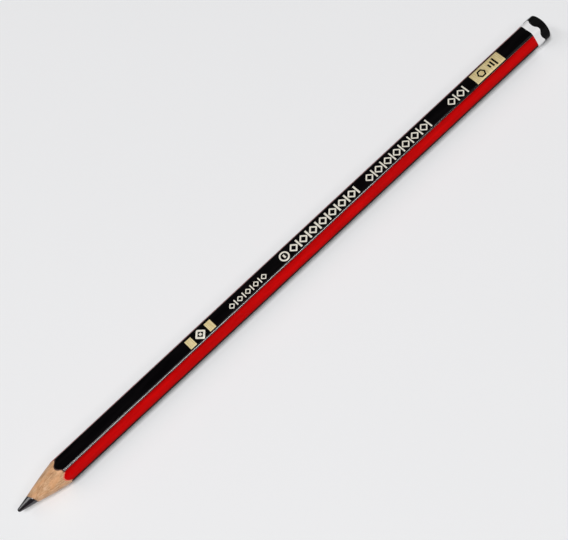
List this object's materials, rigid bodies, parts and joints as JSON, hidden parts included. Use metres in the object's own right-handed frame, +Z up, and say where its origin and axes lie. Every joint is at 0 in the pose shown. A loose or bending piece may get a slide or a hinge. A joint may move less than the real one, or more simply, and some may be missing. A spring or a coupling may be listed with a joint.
{
  "type": "pencil",
  "caption": "Hexagonal wood-cased graphite pencil with red and black lacquered faces, sharpened to a point at one end and dipped white and black at the other, for writing and drawing.",
  "frame": {"origin": "bottom centre of the whole pencil's box, as it lies on one flat of its hexagonal barrel", "axes": "+X along the pencil from the writing point to the dipped end, +Y across it to the side away from the viewer, +Z up through the black face that lies on top"},
  "size_m": [0.175, 0.0076, 0.007],
  "materials": {
    "graphite": "fired graphite and clay, dark grey with a dull metallic sheen",
    "wood": "bare straight-grained softwood, cut smooth by a sharpener",
    "red_lacquer": "glossy opaque red lacquer",
    "black_lacquer": "glossy opaque black lacquer",
    "white_lacquer": "glossy white dipping lacquer",
    "gold_foil": "pale gold hot-stamped foil with a satin sheen"
  },
  "bodies": {
    "root": {"lead": "graphite", "upper_slat": "wood", "lower_slat": "wood", "red_lacquer": "red_lacquer", "black_stripe_1": "black_lacquer", "black_stripe_2": "black_lacquer", "black_stripe_3": "black_lacquer", "white_dip": "white_lacquer", "black_dip": "black_lacquer"}
  },
  "joints": []
}
